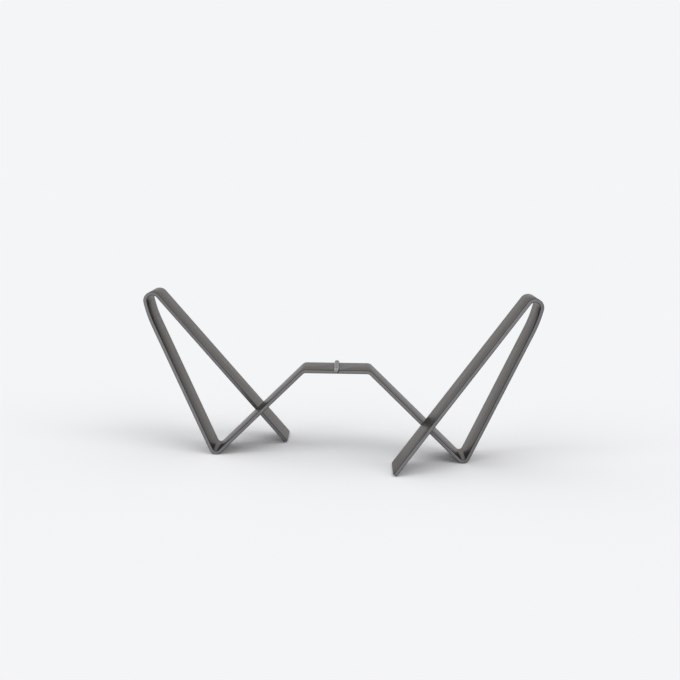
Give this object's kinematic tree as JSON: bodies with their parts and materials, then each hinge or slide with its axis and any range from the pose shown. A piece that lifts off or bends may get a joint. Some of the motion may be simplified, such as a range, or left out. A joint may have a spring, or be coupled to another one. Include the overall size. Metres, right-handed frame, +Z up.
{
  "type": "folding bookstand",
  "caption": "Low folding stand of bent flat steel that holds a large book open in a shallow V, with a pin hinge under the spine.",
  "frame": {"origin": "on the table, under the middle of the hinge", "axes": "+X to the right across the open book, +Y away from the reader, +Z up"},
  "size_m": [0.3332, 0.1622, 0.139],
  "materials": {
    "strip_steel": "satin gunmetal grey, lightly grained along the strip",
    "knuckle_steel": "satin gunmetal grey, turned",
    "pin_steel": "bare satin steel"
  },
  "bodies": {
    "left_wing": {"ribbon_left": "strip_steel", "knuckles_left": "knuckle_steel", "hinge_pin": "pin_steel"},
    "right_wing": {"ribbon_right": "strip_steel", "knuckles_right": "knuckle_steel"}
  },
  "joints": [
    {"name": "fold", "type": "hinge", "parent": "left_wing", "child": "right_wing", "pos_m": [0, 0, 0.076], "axis": [0, -1, 0], "range_deg": [0, 180]}
  ]
}
